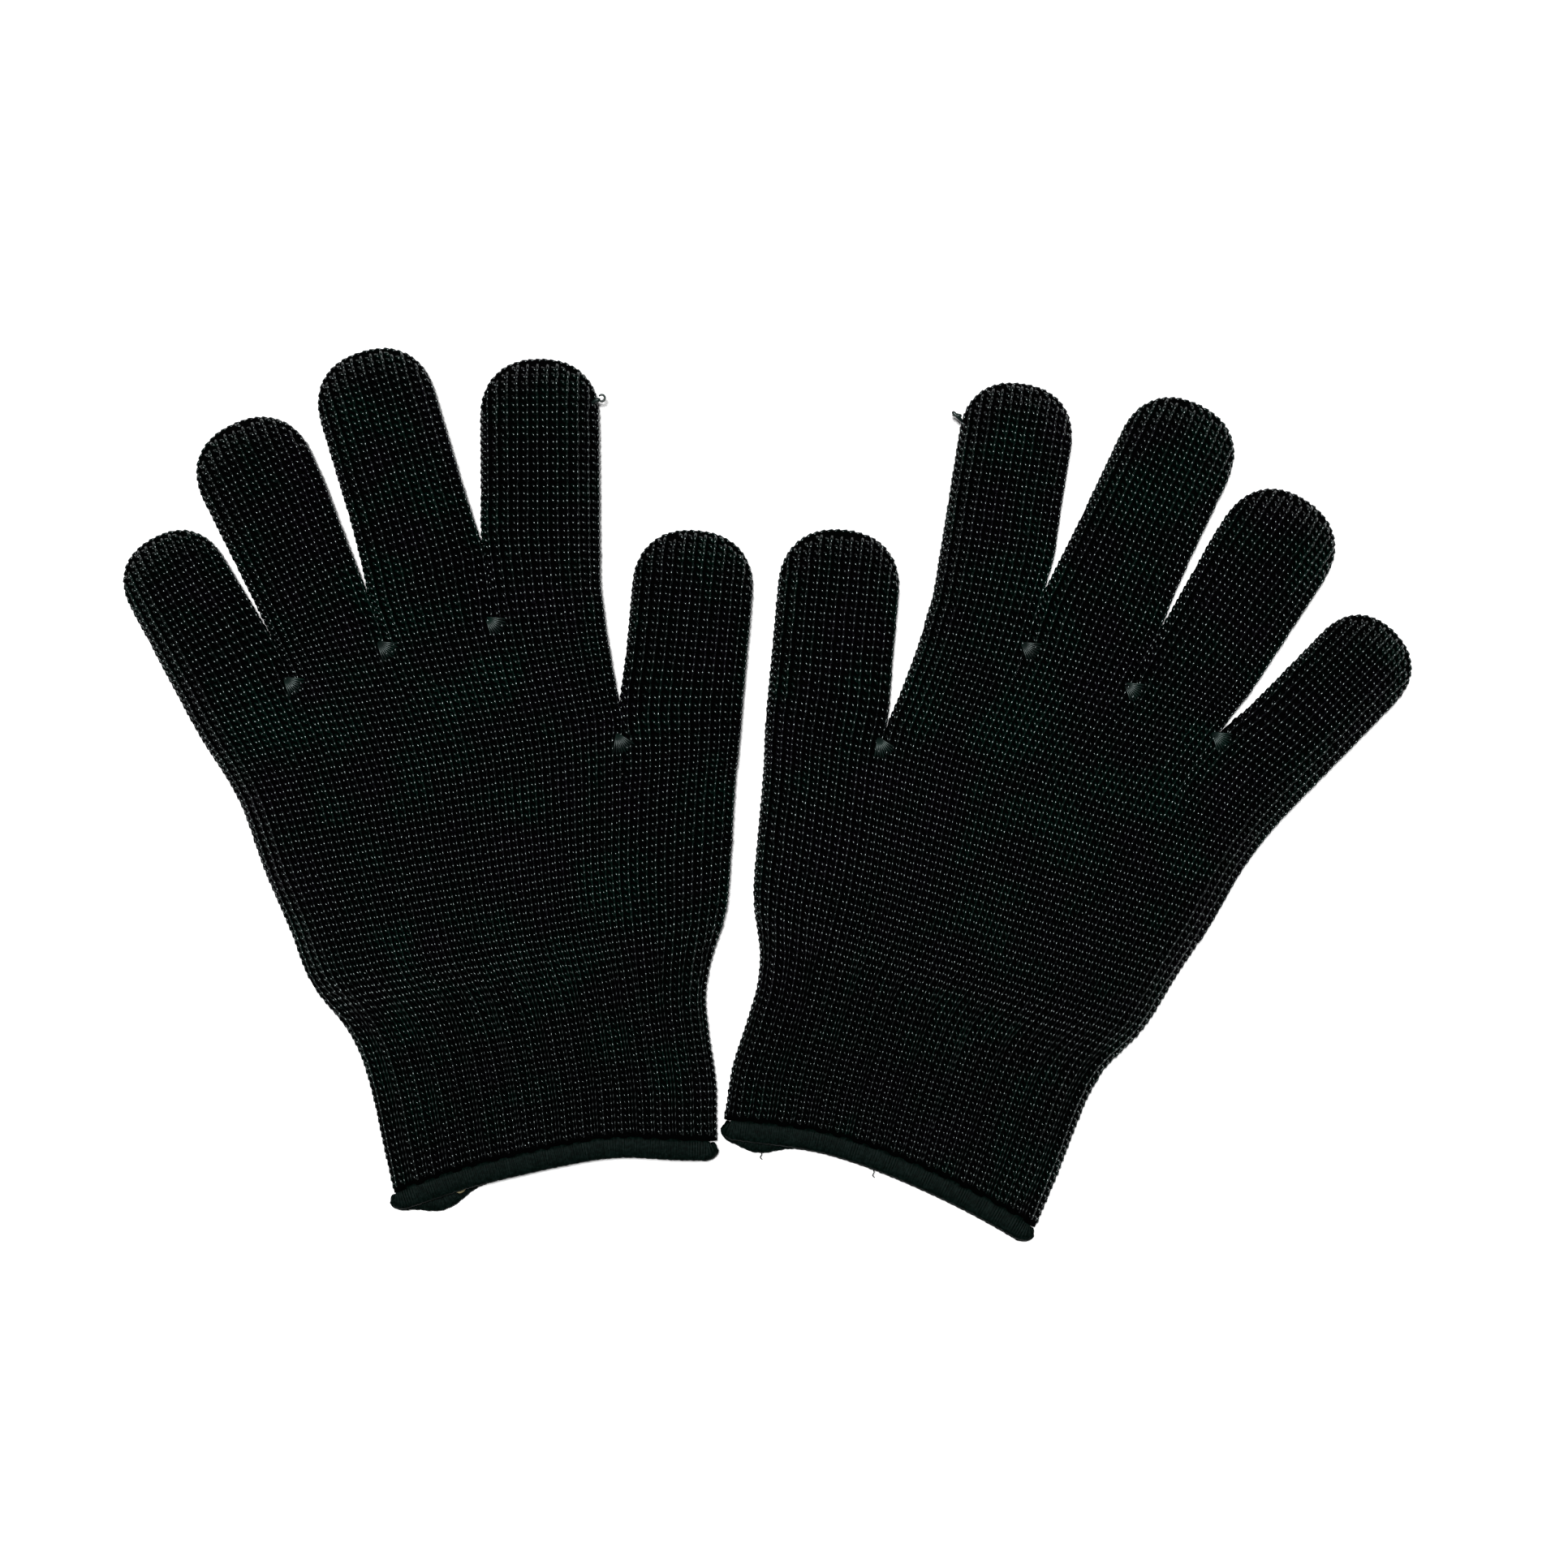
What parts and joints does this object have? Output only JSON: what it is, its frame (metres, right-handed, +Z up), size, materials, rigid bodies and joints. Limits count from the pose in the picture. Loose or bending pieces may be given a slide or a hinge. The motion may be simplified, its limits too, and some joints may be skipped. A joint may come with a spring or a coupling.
{
  "type": "knitted cut-resistant gloves",
  "caption": "Pair of black knitted cut-resistant gloves laid flat, thumbs inward: hollow knit shells with elastic cuffs and overlocked hems, folding at wrist, knuckles and fingers.",
  "frame": {"origin": "middle of the pair's footprint, on the table they lie on", "axes": "+X from the left-lying glove to the right-lying glove, +Y towards the fingertips, +Z up from the table through both faces of the knit"},
  "size_m": [0.3414, 0.2374, 0.009],
  "materials": {
    "knit": "plain-knit filament and wire-core yarn, slightly shiny",
    "cuff_knit": "the same knit drawn together by elastic yarn, rib-like",
    "hem_thread": "smooth overlocked thread, dull",
    "yarn": "short lengths of the same yarn, dull",
    "elastic": "bare rubber thread"
  },
  "bodies": {
    "left_cuff": {"left_cuff": "cuff_knit", "left_cuff_elastic": "elastic", "left_hem_binding": "hem_thread"},
    "left_index_middle": {"left_index_middle": "knit"},
    "left_index_tip": {"left_index_tip": "knit", "left_index_tip_knot": "yarn"},
    "left_knuckles": {"left_index_root": "knit", "left_knuckle_band": "knit", "left_little_ring_darning": "yarn", "left_little_root": "knit", "left_middle_index_darning": "yarn", "left_middle_root": "knit", "left_ring_middle_darning": "yarn", "left_ring_root": "knit"},
    "left_little_middle": {"left_little_middle": "knit"},
    "left_little_tip": {"left_little_tip": "knit"},
    "left_middle_middle": {"left_middle_middle": "knit"},
    "left_middle_tip": {"left_middle_tip": "knit"},
    "left_palm": {"left_index_thumb_darning": "yarn", "left_palm": "knit", "left_thumb_root": "knit", "left_upper_palm": "knit"},
    "left_ring_middle": {"left_ring_middle": "knit"},
    "left_ring_tip": {"left_ring_tip": "knit"},
    "left_thumb_middle": {"left_thumb_middle": "knit"},
    "left_thumb_tip": {"left_thumb_tip": "knit"},
    "right_cuff": {"right_cuff": "cuff_knit", "right_cuff_elastic": "elastic", "right_hem_binding": "hem_thread"},
    "right_index_middle": {"right_index_middle": "knit"},
    "right_index_tip": {"right_index_tip": "knit", "right_index_tip_knot": "yarn"},
    "right_knuckles": {"right_index_root": "knit", "right_knuckle_band": "knit", "right_little_ring_darning": "yarn", "right_little_root": "knit", "right_middle_index_darning": "yarn", "right_middle_root": "knit", "right_ring_middle_darning": "yarn", "right_ring_root": "knit"},
    "right_little_middle": {"right_little_middle": "knit"},
    "right_little_tip": {"right_little_tip": "knit"},
    "right_middle_middle": {"right_middle_middle": "knit"},
    "right_middle_tip": {"right_middle_tip": "knit"},
    "right_palm": {"right_index_thumb_darning": "yarn", "right_palm": "knit", "right_thumb_root": "knit", "right_upper_palm": "knit"},
    "right_ring_middle": {"right_ring_middle": "knit"},
    "right_ring_tip": {"right_ring_tip": "knit"},
    "right_thumb_middle": {"right_thumb_middle": "knit"},
    "right_thumb_tip": {"right_thumb_tip": "knit"}
  },
  "joints": [
    {"name": "pair_slide", "type": "slide", "parent": "left_palm", "child": "right_palm", "axis": [1, 0, 0], "range_m": [0, 0.15]},
    {"name": "left_wrist_fold", "type": "hinge", "parent": "left_palm", "child": "left_cuff", "pos_m": [-0.06438, -0.05443, 0.0045], "axis": [-0.9848, -0.1736, 0], "range_deg": [0, 85]},
    {"name": "left_knuckle_fold", "type": "hinge", "parent": "left_palm", "child": "left_knuckles", "pos_m": [-0.07792, 0.02238, 0.0045], "axis": [0.9848, 0.1736, 0], "range_deg": [0, 85]},
    {"name": "left_little_middle_fold", "type": "hinge", "parent": "left_knuckles", "child": "left_little_middle", "pos_m": [-0.1486, 0.04106, 0.0045], "axis": [0.8829, 0.4695, 0], "range_deg": [0, 85]},
    {"name": "left_little_tip_fold", "type": "hinge", "parent": "left_little_middle", "child": "left_little_tip", "pos_m": [-0.15564, 0.05431, 0.0045], "axis": [0.8829, 0.4695, 0], "range_deg": [0, 56]},
    {"name": "left_ring_middle_fold", "type": "hinge", "parent": "left_knuckles", "child": "left_ring_middle", "pos_m": [-0.12328, 0.05822, 0.0045], "axis": [0.9063, 0.4226, 0], "range_deg": [0, 85]},
    {"name": "left_ring_tip_fold", "type": "hinge", "parent": "left_ring_middle", "child": "left_ring_tip", "pos_m": [-0.13236, 0.0777, 0.0045], "axis": [0.9063, 0.4226, 0], "range_deg": [0, 56]},
    {"name": "left_middle_middle_fold", "type": "hinge", "parent": "left_knuckles", "child": "left_middle_middle", "pos_m": [-0.09348, 0.0679, 0.0045], "axis": [0.9578, 0.2874, 0], "range_deg": [0, 85]},
    {"name": "left_middle_tip_fold", "type": "hinge", "parent": "left_middle_middle", "child": "left_middle_tip", "pos_m": [-0.10067, 0.09185, 0.0045], "axis": [0.9578, 0.2874, 0], "range_deg": [0, 56]},
    {"name": "left_index_middle_fold", "type": "hinge", "parent": "left_knuckles", "child": "left_index_middle", "pos_m": [-0.06086, 0.07024, 0.0045], "axis": [1, 0.007, 0], "range_deg": [0, 85]},
    {"name": "left_index_tip_fold", "type": "hinge", "parent": "left_index_middle", "child": "left_index_tip", "pos_m": [-0.06101, 0.09274, 0.0045], "axis": [1, 0.007, 0], "range_deg": [0, 56]},
    {"name": "left_thumb_base_fold", "type": "hinge", "parent": "left_palm", "child": "left_thumb_middle", "pos_m": [-0.02258, 0.02679, 0.0045], "axis": [0.9962, -0.0872, 0], "range_deg": [0, 55]},
    {"name": "left_thumb_tip_fold", "type": "hinge", "parent": "left_thumb_middle", "child": "left_thumb_tip", "pos_m": [-0.02075, 0.04771, 0.0045], "axis": [0.9962, -0.0872, 0], "range_deg": [0, 70]},
    {"name": "right_wrist_fold", "type": "hinge", "parent": "right_palm", "child": "right_cuff", "pos_m": [0.04494, -0.05864, 0.0045], "axis": [-0.9472, 0.3206, 0], "range_deg": [0, 85]},
    {"name": "right_knuckle_fold", "type": "hinge", "parent": "right_palm", "child": "right_knuckles", "pos_m": [0.06995, 0.01524, 0.0045], "axis": [0.9472, -0.3206, 0], "range_deg": [0, 85]},
    {"name": "right_little_middle_fold", "type": "hinge", "parent": "right_knuckles", "child": "right_little_middle", "pos_m": [0.14437, 0.02154, 0.0045], "axis": [0.7145, -0.6997, 0], "range_deg": [0, 85]},
    {"name": "right_little_tip_fold", "type": "hinge", "parent": "right_little_middle", "child": "right_little_tip", "pos_m": [0.15487, 0.03225, 0.0045], "axis": [0.7145, -0.6997, 0], "range_deg": [0, 56]},
    {"name": "right_ring_middle_fold", "type": "hinge", "parent": "right_knuckles", "child": "right_ring_middle", "pos_m": [0.12006, 0.0439, 0.0045], "axis": [0.8358, -0.549, 0], "range_deg": [0, 85]},
    {"name": "right_ring_tip_fold", "type": "hinge", "parent": "right_ring_middle", "child": "right_ring_tip", "pos_m": [0.13187, 0.06187, 0.0045], "axis": [0.8358, -0.549, 0], "range_deg": [0, 56]},
    {"name": "right_middle_middle_fold", "type": "hinge", "parent": "right_knuckles", "child": "right_middle_middle", "pos_m": [0.09222, 0.05789, 0.0045], "axis": [0.9033, -0.4289, 0], "range_deg": [0, 85]},
    {"name": "right_middle_tip_fold", "type": "hinge", "parent": "right_middle_middle", "child": "right_middle_tip", "pos_m": [0.10294, 0.08047, 0.0045], "axis": [0.9033, -0.4289, 0], "range_deg": [0, 56]},
    {"name": "right_index_middle_fold", "type": "hinge", "parent": "right_knuckles", "child": "right_index_middle", "pos_m": [0.06032, 0.06514, 0.0045], "axis": [0.9874, -0.1582, 0], "range_deg": [0, 85]},
    {"name": "right_index_tip_fold", "type": "hinge", "parent": "right_index_middle", "child": "right_index_tip", "pos_m": [0.06388, 0.08735, 0.0045], "axis": [0.9874, -0.1582, 0], "range_deg": [0, 56]},
    {"name": "right_thumb_base_fold", "type": "hinge", "parent": "right_palm", "child": "right_thumb_middle", "pos_m": [0.01613, 0.02795, 0.0045], "axis": [0.9957, -0.0924, 0], "range_deg": [0, 55]},
    {"name": "right_thumb_tip_fold", "type": "hinge", "parent": "right_thumb_middle", "child": "right_thumb_tip", "pos_m": [0.01807, 0.04886, 0.0045], "axis": [0.9957, -0.0924, 0], "range_deg": [0, 70]}
  ],
  "couplings": [
    {"joint": "left_little_tip_fold", "follows": "left_little_middle_fold", "ratio": 0.65},
    {"joint": "left_ring_tip_fold", "follows": "left_ring_middle_fold", "ratio": 0.65},
    {"joint": "left_middle_tip_fold", "follows": "left_middle_middle_fold", "ratio": 0.65},
    {"joint": "left_index_tip_fold", "follows": "left_index_middle_fold", "ratio": 0.65},
    {"joint": "right_little_tip_fold", "follows": "right_little_middle_fold", "ratio": 0.65},
    {"joint": "right_ring_tip_fold", "follows": "right_ring_middle_fold", "ratio": 0.65},
    {"joint": "right_middle_tip_fold", "follows": "right_middle_middle_fold", "ratio": 0.65},
    {"joint": "right_index_tip_fold", "follows": "right_index_middle_fold", "ratio": 0.65}
  ]
}
